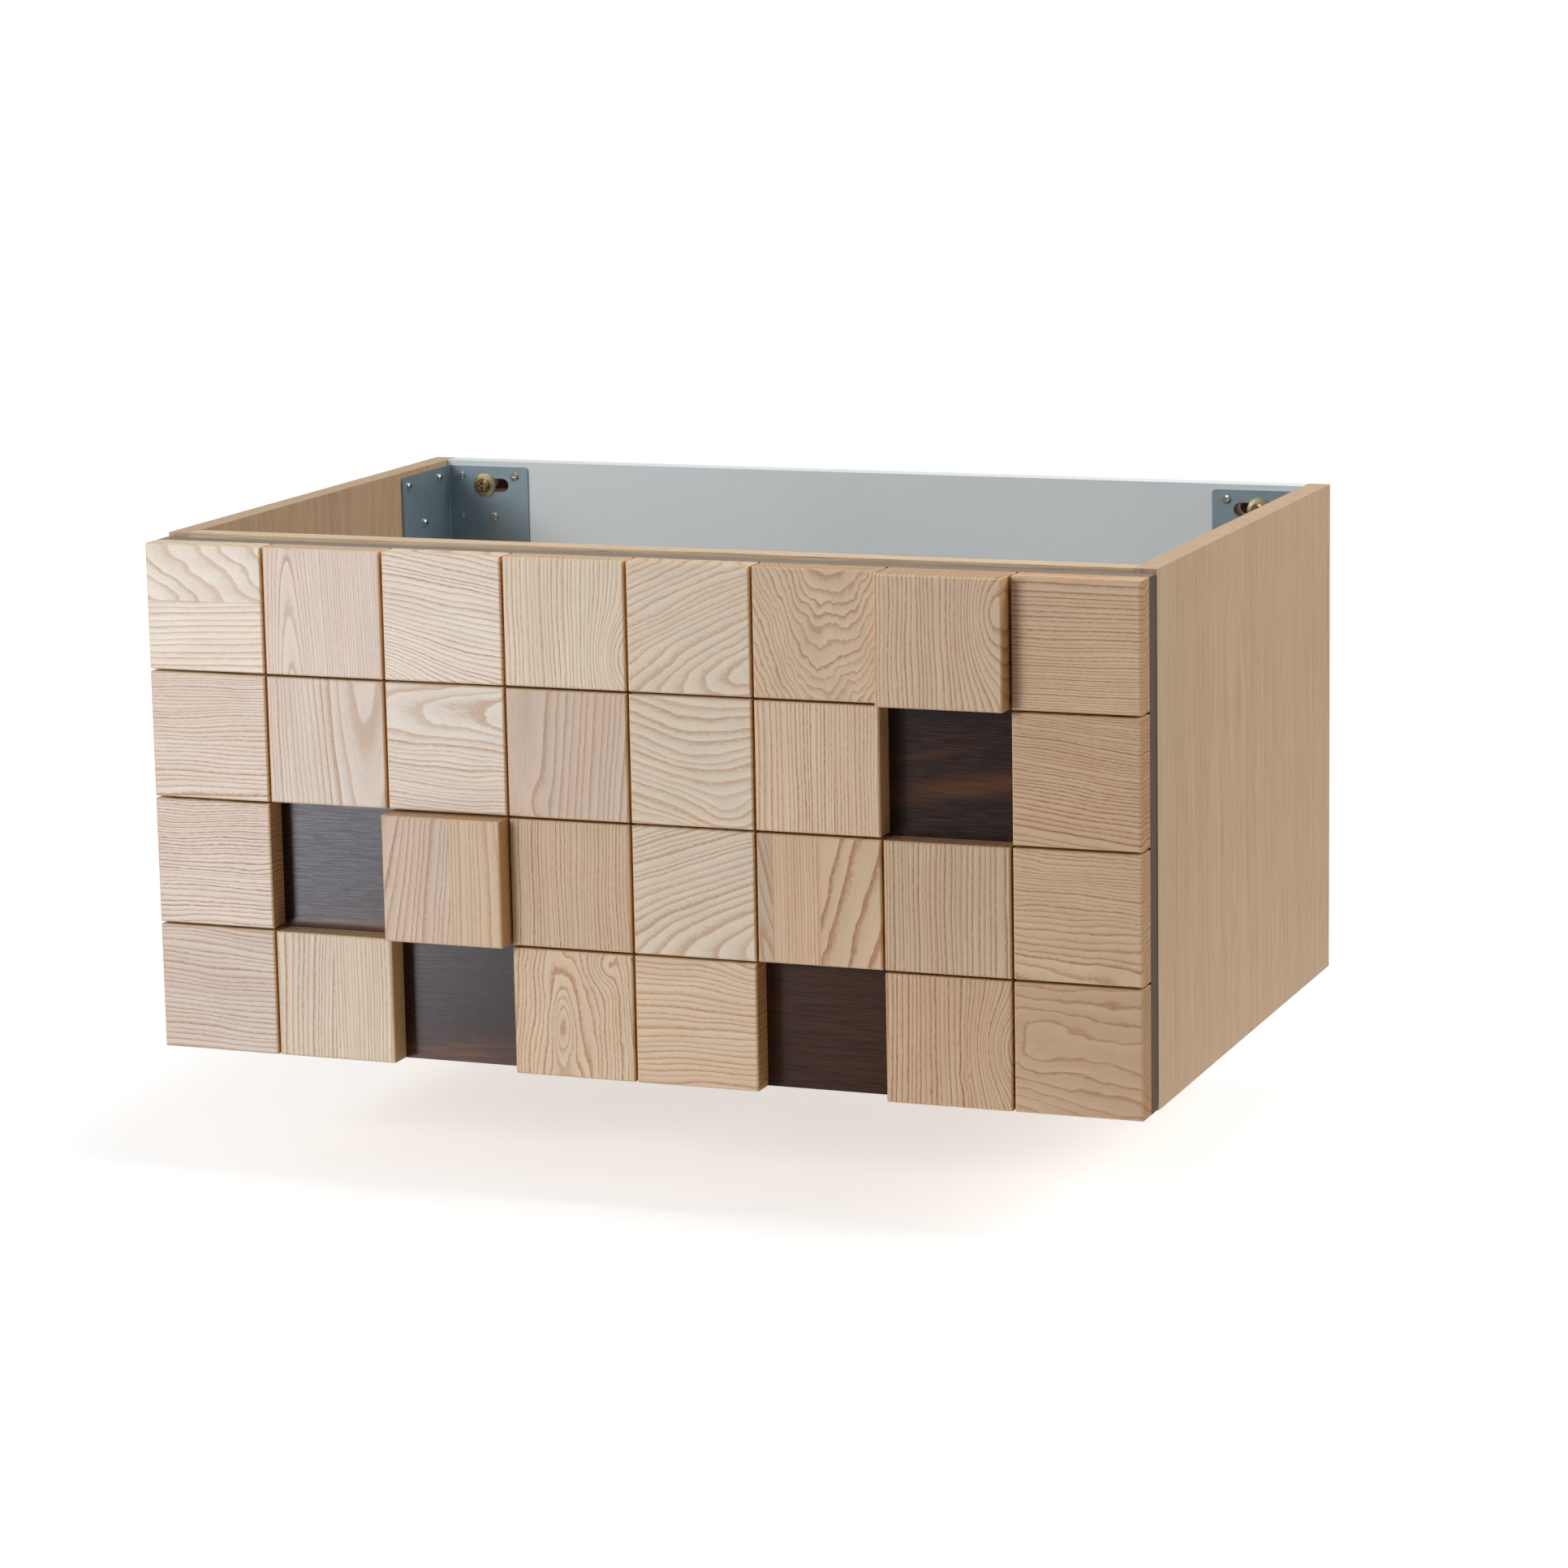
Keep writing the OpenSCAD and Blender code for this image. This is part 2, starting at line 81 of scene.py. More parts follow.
class Graph:
    """Builds a shader node tree out of nested calls. A value is a number, a tuple or a socket."""

    def __init__(self, tree):
        self.tree = tree

    def put(self, socket, value):
        if isinstance(value, bpy.types.NodeSocket):
            self.tree.links.new(value, socket)
        else:
            socket.default_value = value

    def node(self, kind, inputs=(), **settings):
        node = self.tree.nodes.new(kind)
        for name, value in settings.items():
            setattr(node, name, value)
        for name, value in dict(inputs).items():
            self.put(node.inputs[name], value)
        return node

    def math(self, operation, a, b=0.0, c=0.0):
        values = {0: a, 1: b, 2: c}
        return self.node("ShaderNodeMath", values, operation=operation).outputs[0]

    def add(self, a, b):
        return self.math("ADD", a, b)

    def mul(self, a, b):
        return self.math("MULTIPLY", a, b)

    def vector(self, operation, a, b=(0, 0, 0)):
        node = self.node("ShaderNodeVectorMath", {0: a, 1: b}, operation=operation)
        return node.outputs["Value" if operation in ("LENGTH", "DOT_PRODUCT") else "Vector"]

    def scaled(self, vector, factor):
        node = self.node("ShaderNodeVectorMath", {0: vector, "Scale": factor}, operation="SCALE")
        return node.outputs["Vector"]

    def split(self, vector):
        return self.node("ShaderNodeSeparateXYZ", {0: vector}).outputs

    def join(self, x, y, z):
        return self.node("ShaderNodeCombineXYZ", {0: x, 1: y, 2: z}).outputs[0]

    def ramp(self, value, low, high, start=0.0, end=1.0, kind="SMOOTHSTEP"):
        inputs = {"Value": value, "From Min": low, "From Max": high, "To Min": start, "To Max": end}
        return self.node("ShaderNodeMapRange", inputs, interpolation_type=kind).outputs[0]

    def noise(self, vector, detail=2.0, rough=0.5):
        inputs = {"Vector": vector, "Scale": 1.0, "Detail": detail, "Roughness": rough}
        return self.node("ShaderNodeTexNoise", inputs).outputs["Fac"]

    def mix(self, factor, a, b, blend="MIX"):
        node = self.node("ShaderNodeMix", data_type="RGBA", blend_type=blend)
        for socket, value in ((node.inputs[0], factor), (node.inputs[6], a), (node.inputs[7], b)):
            self.put(socket, value)
        return node.outputs[2]

    def shade(self, colour, value):
        """colour made lighter or darker by value, where 1 leaves it as it is."""
        if isinstance(colour, tuple):
            colour = colour[:3]
        return self.scaled(colour, value)

    def point(self):
        """The surface point in the CAD frame, in millimetres."""
        return self.scaled(self.node("ShaderNodeTexCoord").outputs["Object"], 1 / MM)

    def normal(self):
        return self.node("ShaderNodeTexCoord").outputs["Normal"]

    def bump(self, height, depth_mm):
        inputs = {"Height": height, "Distance": depth_mm * MM}
        return self.node("ShaderNodeBump", inputs).outputs[0]


def new_material(name):
    """(material, its graph, its Principled shader)"""
    material = bpy.data.materials.new(name)
    material.use_nodes = True
    graph = Graph(material.node_tree)
    return material, graph, material.node_tree.nodes["Principled BSDF"]


def edge_highlight_mask(graph):
    """1 on rounded and chamfered edges, 0 on flat faces that look along X, Y or Z. The materials
    paint a highlight along these edges.
    """
    sides = graph.split(graph.vector("ABSOLUTE", graph.normal()))
    widest = graph.math("MAXIMUM", graph.math("MAXIMUM", sides[0], sides[1]), sides[2])
    return graph.ramp(widest, 0.75, 0.995, 1.0, 0.0)


def paint(nodes, material):
    for name in nodes:
        mesh = NODES[name].data
        mesh.materials.clear()
        mesh.materials.append(material)


WELD_DISTANCE = 0.01
SHARP_ANGLE = math.radians(30)


def round_edges(nodes, width_mm, segments=2):
    """Welds the imported corners and rounds every edge sharper than SHARP_ANGLE."""
    for name in nodes:
        weld = NODES[name].modifiers.new("weld", "WELD")
        weld.merge_threshold = WELD_DISTANCE * MM
        bevel = NODES[name].modifiers.new("round", "BEVEL")
        bevel.width = width_mm * MM
        bevel.segments = segments
        bevel.limit_method = "ANGLE"
        bevel.angle_limit = SHARP_ANGLE
        bevel.harden_normals = True


# ---------------------------------------------------------------- wood

WOOD_INPUTS = (
    ("Point", "NodeSocketVector"),
    ("Spacing", "NodeSocketFloat"),
    ("Tighten", "NodeSocketFloat"),
    ("Wander", "NodeSocketFloat"),
    ("Ripple", "NodeSocketFloat"),
    ("Pores", "NodeSocketFloat"),
    ("Seed", "NodeSocketFloat"),
    ("Lump A", "NodeSocketVector"),
    ("Size A", "NodeSocketVector"),
    ("Rise A", "NodeSocketFloat"),
    ("Lump B", "NodeSocketVector"),
    ("Size B", "NodeSocketVector"),
    ("Rise B", "NodeSocketFloat"),
)


def wood_group():
    """Growth rings round the X axis of Point, which runs along the pith, in millimetres.

    Spacing is the width of a ring near the pith and Tighten how fast rings narrow outwards.
    Wander and Ripple bend the rings on a large and a small scale, and each lump pushes them
    outwards by Rise. Pores is how much of each ring is the band of open pores that begins it.
    Band is where the pores are, Light how bright the wood between them is, Blush where it turns
    pink, and Height the relief that the open pores leave.
    """
    tree = bpy.data.node_groups.new("wood_rings", "ShaderNodeTree")
    for name, kind in WOOD_INPUTS:
        tree.interface.new_socket(name, in_out="INPUT", socket_type=kind)
    for name in ("Band", "Light", "Blush", "Height"):
        tree.interface.new_socket(name, in_out="OUTPUT", socket_type="NodeSocketFloat")
    g = Graph(tree)
    given = g.node("NodeGroupInput").outputs
    seed = given["Seed"]
    place = g.vector("ADD", given["Point"], g.join(g.mul(seed, 137.0), seed, g.mul(seed, 7.0)))

    _, side, deep = g.split(given["Point"])
    radius = g.math("SQRT", g.add(g.mul(side, side), g.mul(deep, deep)))

    def stretched(along, across):
        return g.vector("MULTIPLY", place, (1 / along, 1 / across, 1 / across))

    def bend(amount, along, across, detail):
        swing = g.math("SUBTRACT", g.noise(stretched(along, across), detail), 0.5)
        return g.mul(amount, swing)

    radius = g.add(radius, bend(given["Wander"], 95, 42, 1.0))
    radius = g.add(radius, bend(given["Ripple"], 17, 9, 2.0))
    for letter in "AB":
        away = g.vector("SUBTRACT", given["Point"], given["Lump " + letter])
        away = g.vector("LENGTH", g.vector("DIVIDE", away, given["Size " + letter]))
        bell = g.math("EXPONENT", g.mul(g.mul(away, away), -1.0))
        radius = g.add(radius, g.mul(bell, given["Rise " + letter]))

    rings = g.math("DIVIDE", radius, given["Spacing"])
    growth = g.add(g.mul(g.mul(radius, 0.01), given["Tighten"]), 1.0)
    rings = g.mul(rings, growth)
    uneven = g.noise(g.join(g.mul(rings, 0.37), g.mul(seed, 3.1), 0.0), 1.0)
    rings = g.add(rings, g.mul(g.math("SUBTRACT", uneven, 0.5), 1.9))
    phase = g.math("FRACT", rings)

    ragged = g.noise(stretched(5.0, 0.9), 2.0, 0.6)
    pore_band = g.mul(given["Pores"], g.ramp(ragged, 0.25, 0.75, 0.5, 1.6, "LINEAR"))
    fade = g.math("SUBTRACT", 1.0, g.math("DIVIDE", phase, pore_band))
    band = g.mul(g.ramp(fade, 0.0, 0.7), g.ramp(phase, 0.0, 0.05))
    year = g.noise(g.join(g.mul(g.math("FLOOR", rings), 0.83), g.mul(seed, 1.7), 0.0), 0.0)
    band = g.mul(band, g.ramp(year, 0.3, 0.68, 0.5, 1.0, "LINEAR"))
    dashes = g.ramp(g.noise(stretched(4.5, 0.42), 1.0), 0.42, 0.62)

    fibre = g.noise(stretched(20.0, 0.7), 3.0, 0.7)
    cloud = g.noise(stretched(70.0, 16.0), 2.0)
    latewood = g.ramp(phase, 0.5, 0.9, 1.0, 1.06)
    light = g.mul(latewood, g.ramp(fibre, 0.25, 0.75, 0.90, 1.07, "LINEAR"))
    light = g.mul(light, g.ramp(cloud, 0.25, 0.75, 0.95, 1.05, "LINEAR"))
    blush = g.ramp(g.noise(stretched(110.0, 24.0), 1.0), 0.38, 0.66)
    height = g.math("SUBTRACT", g.mul(fibre, 0.4), g.mul(band, dashes))
    g.node("NodeGroupOutput", {
        "Band": g.mul(band, g.ramp(dashes, 0.0, 1.0, 0.62, 1.0, "LINEAR")),
        "Light": light,
        "Blush": blush,
        "Height": height,
    })
    return tree


WOOD = wood_group()


def pith_axes(turn, dive):
    """Columns along the pith, across it in the face, and into the wood, for a face that looks
    along -Y. turn is the rise of the grain to the right, dive how it tilts out of the face."""
    turn, dive = math.radians(turn), math.radians(dive)
    across = Vector((-math.sin(turn), 0, math.cos(turn)))
    level = Vector((math.cos(turn), 0, math.sin(turn)))
    along = level * math.cos(dive) + Vector((0, 1, 0)) * math.sin(dive)
    return Matrix((along, across, along.cross(across))).transposed()


def figure(turn, across, depth, spacing, dive=0, tighten=0, wander=5, ripple=0.7, pores=0.46,
           lumps=(), wood=None, line=None, until=None):
    """How the rings of one stave lie under its face.

    across and depth say where the pith passes the middle of the block: how far to the side of
    the grain and how far behind the face. A lump is (x, z, length, width, rise) in the face.
    until is where the stave ends: a distance along the block's joint axis from its middle.
    """
    return dict(turn=turn, across=across, depth=depth, spacing=spacing, dive=dive,
                tighten=tighten, wander=wander, ripple=ripple, pores=pores, lumps=lumps,
                wood=wood, line=line, until=until)


def rings(g, point, centre, look, seed):
    """The wood group's outputs for one figure whose face has its middle at centre, in mm."""
    axes = pith_axes(look["turn"], look["dive"])
    into = Vector((0, 1, 0))
    flat_across = pith_axes(look["turn"], 0).col[1]
    pith = centre + flat_across * look["across"] + into * look["depth"]
    local = g.node("ShaderNodeMapping", {
        "Vector": point,
        "Location": pith,
        "Rotation": Vector(axes.to_euler()),
    }, vector_type="TEXTURE").outputs[0]
    inputs = {"Point": local, "Seed": float(seed)}
    for name in ("spacing", "tighten", "wander", "ripple", "pores"):
        inputs[name.capitalize()] = float(look[name])
    for letter in "AB":
        inputs["Size " + letter] = (1.0, 1.0, 1.0)
    for letter, (x, z, length, width, rise) in zip("AB", look["lumps"]):
        spot = axes.transposed() @ (centre + Vector((x, 0, z)) - pith)
        inputs["Lump " + letter] = spot
        inputs["Size " + letter] = (length, width, 2 * width)
        inputs["Rise " + letter] = float(rise)
    group = g.node("ShaderNodeGroup", node_tree=WOOD)
    for name, value in inputs.items():
        g.put(group.inputs[name], value)
    end_grain = g.math("ABSOLUTE", g.vector("DOT_PRODUCT", g.normal(), axes.col[0]))
    return group.outputs, end_grain


# Tints that multiply the wood: where it blushes and on end grain, as the wood itself has them,
# and painted shade on sides that face another block, a lighter painted shade on sides at the
# ends of the front, and a faint painted shade on tops and undersides
BLUSH = (1.0, 0.955, 0.94, 1.0)
SIDE_PAINTED_SHADE = (0.98, 0.75, 0.48, 1.0)
OUTER_PAINTED_SHADE = (0.97, 0.88, 0.77, 1.0)
TOP_PAINTED_SHADE = (1.0, 0.95, 0.88, 1.0)
END_TINT = (0.86, 0.79, 0.72, 1.0)


def stave_colour(g, outputs, end_grain, look):
    """(colour, height) of one stave"""
    colour = g.shade(look["wood"], outputs["Light"])
    colour = g.mix(outputs["Blush"], colour, BLUSH, "MULTIPLY")
    colour = g.mix(outputs["Band"], colour, look["line"])
    colour = g.mix(g.ramp(end_grain, 0.8, 1.0), colour, END_TINT, "MULTIPLY")
    return colour, outputs["Height"]


def ash_material(name, centre, looks, joint_axis, side_painted_shade, seed):
    """Oiled solid ash: one stave, or several glued side by side along joint_axis."""
    material, g, shader = new_material(name)
    point = g.point()
    colour = height = None
    for number, look in enumerate(looks):
        outputs, end_grain = rings(g, point, centre, look, seed + STAVE_SEED * number)
        part, part_height = stave_colour(g, outputs, end_grain, look)
        if number == 0:
            colour, height = part, part_height
            continue
        edge = centre[joint_axis] + looks[number - 1]["until"]
        beyond = g.math("SUBTRACT", g.split(point)[joint_axis], edge)
        side = g.math("GREATER_THAN", beyond, 0.0)
        colour = g.mix(side, colour, part)
        seam = g.ramp(g.math("ABSOLUTE", beyond), 0.1, 0.35, 0.35, 0.0)
        colour = g.mix(seam, colour, SEAM_BROWN)
        height = g.add(height, g.mul(side, g.math("SUBTRACT", part_height, height)))
    facing = g.split(g.vector("ABSOLUTE", g.normal()))
    # Painted shade: sides along X and tops and undersides along Z are made darker and warmer
    for axis, tint in ((0, side_painted_shade), (2, TOP_PAINTED_SHADE)):
        colour = g.mix(g.ramp(facing[axis], 0.3, 0.9), colour, tint, "MULTIPLY")
    # Painted highlight: the rounded edges are made paler
    colour = g.mix(g.mul(edge_highlight_mask(g), 0.35), colour, ASH_EDGE_HIGHLIGHT)
    g.put(shader.inputs["Base Color"], colour)
    g.put(shader.inputs["Roughness"], g.ramp(height, -0.8, 0.3, 0.66, 0.48, "LINEAR"))
    shader.inputs["Specular IOR Level"].default_value = 0.38
    g.put(shader.inputs["Normal"], g.bump(height, 0.07))
    return material


# The grain of the blocks: LEVEL runs left to right, UPRIGHT top to bottom. across then counts
# upwards on a level block and to the right on an upright one.
LEVEL = 0
UPRIGHT = -90
SEAM_BROWN = srgb(150, 112, 82)
# Painted highlight on the rounded edges of the blocks
ASH_EDGE_HIGHLIGHT = srgb(226, 190, 138)
# Added to a block's seed for each further stave, so that no two staves are alike
STAVE_SEED = 0.37

# Tones of the wood, from the palest piece to the darkest. Besides the wood's own tone, they hold
# painted light: the paler tones go to the blocks on the left, which the key lamp lights most.
PEARL = srgb(222, 210, 195)
PINK = srgb(214, 198, 183)
CREAM = srgb(213, 196, 174)
SAND = srgb(206, 182, 154)
HONEY = srgb(203, 175, 144)
DUSK = srgb(201, 180, 160)
TAN = srgb(193, 169, 141)
ROSE = srgb(197, 167, 135)
# Open pores against the wood round them
PORE_SHADE = (0.67, 0.43, 0.26)


def tinted(wood, light=1.0, strength=1.0, **look):
    """A figure in one of the tones above. light makes it lighter or darker, partly as painted light
    that is lower on the bottom row than on the top row, and strength says how much its lines
    stand out."""
    wood = tuple(light * value for value in wood[:3])
    line = tuple(value * shade ** strength for value, shade in zip(wood, PORE_SHADE))
    return figure(wood=wood + (1.0,), line=line + (1.0,), **look)


BLOCK_LOOKS = {
    (1, 1): [
        tinted(PEARL, 1.08, strength=0.6, turn=LEVEL + 2, across=150, depth=30, spacing=4.9,
               ripple=0.8, until=5),
        tinted(PEARL, 1.04, strength=0.55, turn=LEVEL, across=50, depth=58, dive=-23, spacing=7.8,
               pores=0.38, ripple=3.4, wander=16),
    ],
    (1, 2): [tinted(PINK, 1.065, strength=0.65, turn=UPRIGHT + 1, across=-28, depth=9, dive=-5,
                    spacing=3.0, tighten=0.3, pores=0.36, wander=4, ripple=0.5)],
    (1, 3): [tinted(PEARL, 1.06, strength=1.05, turn=LEVEL - 8, across=150, depth=30, spacing=4.2,
                    wander=12, ripple=1.6, lumps=[(-60, -58, 48, 40, 34)])],
    (1, 4): [tinted(CREAM, 1.08, strength=0.75, turn=UPRIGHT, across=92, depth=20, spacing=3.6,
                    wander=7, ripple=1.0, lumps=[(46, -24, 30, 20, -19)])],
    (1, 5): [tinted(CREAM, 1.03, strength=0.65, turn=LEVEL + 19, across=-42, depth=28, dive=-12,
                    spacing=4.4, wander=12, ripple=2.4)],
    (1, 6): [tinted(SAND, 1.0, strength=0.9, turn=UPRIGHT, across=12, depth=54, dive=19,
                    spacing=6.2, tighten=0.9, wander=15, ripple=4.4)],
    (1, 7): [tinted(SAND, 1.01, strength=0.95, turn=UPRIGHT, across=112, depth=20, spacing=11,
                    tighten=0.8, wander=7, ripple=1.2,
                    lumps=[(40, 24, 36, 17, -24), (54, -54, 34, 34, 12)])],
    (1, 8): [tinted(HONEY, 1.08, strength=1.4, turn=LEVEL, across=62, depth=6, spacing=6.8,
                    tighten=1.15, wander=5, ripple=0.7)],
    (2, 1): [tinted(PINK, 1.05, turn=LEVEL + 2, across=-66, depth=10, spacing=8.4, tighten=1.3,
                    wander=10, ripple=1.0)],
    (2, 2): [tinted(PINK, 1.0, strength=0.7, turn=UPRIGHT, across=36, depth=24.3, dive=6,
                    spacing=150, tighten=30, wander=7, ripple=1.0)],
    (2, 3): [tinted(PEARL, 0.99, strength=0.75, turn=LEVEL, across=28, depth=22, dive=-6,
                    spacing=8.2, tighten=1.5, pores=0.5, wander=13, ripple=2.2)],
    (2, 4): [tinted(DUSK, 1.01, strength=0.6, turn=UPRIGHT - 6, across=-38, depth=40,
                    spacing=4.4, wander=4, ripple=0.8, lumps=[(-25, -36, 12, 8, 3)])],
    (2, 5): [tinted(CREAM, 1.01, strength=0.6, turn=LEVEL - 3, across=92, depth=30, spacing=6.4,
                    pores=0.55, wander=12, ripple=2.8,
                    lumps=[(4, 2, 46, 60, -11), (28, -42, 30, 20, -15)])],
    (2, 6): [
        tinted(SAND, 1.08, strength=1.6, turn=UPRIGHT, across=-66, depth=8, spacing=6.0,
               tighten=0.7, wander=4, ripple=0.4, pores=0.5, until=14),
        tinted(SAND, 1.06, strength=1.0, turn=UPRIGHT, across=-90, depth=8, spacing=3.0, wander=4,
               ripple=0.6),
    ],
    (2, 8): [tinted(ROSE, 1.07, strength=1.6, turn=LEVEL - 6, across=-74, depth=14, spacing=7.4,
                    tighten=1.1, wander=9, ripple=1.6)],
    (3, 1): [tinted(PINK, 1.01, strength=1.6, turn=LEVEL + 1, across=-72, depth=12, spacing=8.4,
                    tighten=1.4, wander=11, ripple=1.5, lumps=[(34, -5, 16, 7, 2.5)])],
    (3, 3): [
        tinted(DUSK, 0.98, strength=0.75, turn=UPRIGHT - 3, across=-58, depth=30, dive=6,
               spacing=4.0, wander=6, ripple=1.0, until=7),
        tinted(TAN, 1.10, strength=0.4, turn=UPRIGHT, across=60, depth=45, spacing=2.6, wander=5,
               ripple=1.0),
    ],
    (3, 4): [tinted(TAN, 1.05, strength=1.1, turn=UPRIGHT, across=-120, depth=30, spacing=3.0,
                    wander=7, ripple=0.6)],
    (3, 5): [tinted(CREAM, 0.97, strength=0.85, turn=LEVEL + 13, across=-50, depth=30, dive=-15,
                    spacing=11, tighten=1.0, pores=0.5, wander=7, ripple=1.6)],
    (3, 6): [
        tinted(TAN, 0.93, strength=0.6, turn=UPRIGHT + 14, across=-50, depth=20, spacing=2.9,
               wander=8, until=-37),
        tinted(HONEY, 1.02, strength=0.7, turn=UPRIGHT, across=-120, depth=20, spacing=2.6,
               wander=3, ripple=0.4, until=1),
        tinted(HONEY, 1.0, strength=1.3, turn=UPRIGHT - 17, across=-62, depth=44, spacing=13,
               pores=0.42, wander=12, ripple=5.0),
    ],
    (3, 7): [tinted(TAN, 1.03, strength=1.1, turn=UPRIGHT, across=76, depth=8, spacing=7.4,
                    tighten=0.6, wander=6, ripple=0.7)],
    (3, 8): [tinted(HONEY, 1.0, strength=1.15, turn=LEVEL, across=-48, depth=20, dive=6,
                    spacing=7.6, tighten=1.1, wander=14, ripple=2.6)],
    (4, 1): [tinted(PINK, 0.87, strength=0.95, turn=LEVEL - 2, across=-130, depth=20, spacing=4.0,
                    wander=12, ripple=1.3)],
    (4, 2): [
        tinted(CREAM, 0.91, strength=1.1, turn=UPRIGHT - 3, across=-60, depth=12, dive=-3,
               spacing=6.4, tighten=0.9, wander=6, ripple=0.6, until=0),
        tinted(CREAM, 0.94, strength=0.6, turn=UPRIGHT, across=-130, depth=20, spacing=3.0,
               wander=4, ripple=0.5),
    ],
    (4, 4): [tinted(SAND, 0.99, strength=1.05, turn=UPRIGHT, across=-4, depth=28, dive=-9,
                    spacing=5.0, tighten=0.5, wander=22, ripple=3.8,
                    lumps=[(-10, -8, 28, 9, -11), (26, 40, 14, 12, 9)])],
    (4, 5): [tinted(SAND, 1.01, strength=0.85, turn=LEVEL + 1, across=-112, depth=20, spacing=5.0,
                    wander=14, ripple=1.6, lumps=[(54, 46, 34, 26, 17)])],
    (4, 7): [tinted(ROSE, 1.0, strength=1.4, turn=UPRIGHT, across=112, depth=10, spacing=3.9,
                    wander=6, ripple=0.9, lumps=[(56, -2, 32, 30, -30), (13, -25, 5, 4, -5)])],
    (4, 8): [tinted(ROSE, 0.94, strength=0.8, turn=LEVEL - 4, across=6, depth=40, dive=-5,
                    spacing=6.4, wander=20, ripple=4.0, pores=0.26,
                    lumps=[(-33, 6, 24, 24, -7.5)])],
}


LAST_COLUMN = max(column for _, column in BLOCK_LOOKS)
# The staves of this block lie one above the other; those of the rest stand side by side
STACKED_BLOCK = (1, 1)


def finish_blocks():
    """Every block has its own piece of ash, cut from its own part of the tree."""
    for (row, column), looks in BLOCK_LOOKS.items():
        node = f"block_r{row}_c{column}"
        low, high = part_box(node)
        centre = Vector(((low.x + high.x) / 2, low.y, (low.z + high.z) / 2)) / MM
        joint_axis = 2 if (row, column) == STACKED_BLOCK else 0
        # Painted shade on the sides, lighter on the blocks of the last column
        side_painted_shade = OUTER_PAINTED_SHADE if column == LAST_COLUMN else SIDE_PAINTED_SHADE
        name = f"solid_ash_r{row}_c{column}"
        seed = 8 * row + column
        material = ash_material(name, centre, looks, joint_axis, side_painted_shade, seed)
        paint([node], material)
        round_edges([node], 0.6, 3)


finish_blocks()

# ---------------------------------------------------------------- boards

BOARD_THICKNESS = 18
BOARD_SEED = 3.7
BOARD_WOOD = srgb(201, 172, 141)
BOARD_LINE = srgb(156, 119, 84)
# Painted highlight on the rounded edges of the boards
BOARD_EDGE_HIGHLIGHT = srgb(232, 208, 160)
# The front rail has a paler film than the other boards
RAIL_WOOD = srgb(228, 202, 168)
# Painted shade on the faces of the side panels that look into the cabinet, which are made a shade
# deeper
INNER_PAINTED_SHADE = (0.80, 0.74, 0.68, 1.0)


def board_material(name, wood, look, centre, panel_middle):
    """Wood-pattern board: long fine streaks over faint broad rings, under a satin film.

    panel_middle is how far the middle planes of the side panels are from the middle of the
    cabinet; what faces sideways nearer than that faces into the cabinet.
    """
    material, g, shader = new_material(name)
    point = g.point()
    outputs, _ = rings(g, point, centre, look, BOARD_SEED)
    along = look["turn"] == UPRIGHT
    fine = (1.7, 1.7, 0.02) if along else (0.02, 1.7, 1.7)
    broad = (0.05, 0.05, 0.0015) if along else (0.0015, 0.05, 0.05)
    sparse = (0.55, 0.55, 0.009) if along else (0.009, 0.55, 0.55)
    streaks = g.noise(g.vector("MULTIPLY", point, fine), 4.0, 0.75)
    long_streaks = g.noise(g.vector("MULTIPLY", point, sparse), 2.0, 0.6)
    drift = g.noise(g.vector("MULTIPLY", point, broad), 2.0)
    colour = g.shade(wood, g.ramp(drift, 0.3, 0.7, 0.94, 1.05, "LINEAR"))
    colour = g.mix(g.mul(outputs["Band"], 0.26), colour, BOARD_LINE)
    colour = g.mix(g.ramp(streaks, 0.46, 0.66, 0.0, 0.45), colour, BOARD_LINE)
    colour = g.mix(g.ramp(long_streaks, 0.55, 0.7, 0.0, 0.5), colour, BOARD_LINE)
    # Painted shade on the sides that face into the cabinet
    inwards = g.math("LESS_THAN", g.math("ABSOLUTE", g.split(point)[0]), panel_middle)
    sideways = g.math("ABSOLUTE", g.split(g.normal())[0])
    colour = g.mix(g.mul(inwards, g.ramp(sideways, 0.5, 0.9)), colour, INNER_PAINTED_SHADE, "MULTIPLY")
    # Painted highlight along the rounded edges
    colour = g.mix(g.mul(edge_highlight_mask(g), 0.8), colour, BOARD_EDGE_HIGHLIGHT)
    g.put(shader.inputs["Base Color"], colour)
    g.put(shader.inputs["Roughness"], g.ramp(streaks, 0.3, 0.7, 0.46, 0.56))
    shader.inputs["Specular IOR Level"].default_value = 0.42
    g.put(shader.inputs["Normal"], g.bump(streaks, 0.03))
    return material


def finish_boards():
    panel_middle = cad_box[1].x / MM - BOARD_THICKNESS / 2
    boards = {
        "left_side_panel": figure(turn=UPRIGHT, across=70, depth=60, dive=2, spacing=9,
                                  wander=14, pores=0.45),
        "right_side_panel": figure(turn=UPRIGHT, across=-60, depth=-30, dive=2, spacing=9,
                                   wander=14, pores=0.45),
        "front_rail": figure(turn=LEVEL, across=-40, depth=30, spacing=6, wander=8, pores=0.45),
        "bottom_panel": figure(turn=LEVEL, across=60, depth=40, spacing=9, wander=14, pores=0.45),
    }
    for node, look in boards.items():
        low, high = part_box(node)
        middle = (low + high) / 2 / MM
        wood = RAIL_WOOD if node == "front_rail" else BOARD_WOOD
        material = board_material("light_wood_" + node, wood, look, middle, panel_middle)
        paint([node], material)
    round_edges(boards, 0.8)


finish_boards()

VENEER_DARK = srgb(34, 17, 9)
VENEER_BROWN = srgb(106, 62, 27)
VENEER_PORE = srgb(62, 35, 21)
BAND_SIDE = srgb(94, 78, 65)
# Painted light: the paler band colour on edges that face up or down
BAND_TOP_PAINTED_LIGHT = srgb(138, 124, 111)
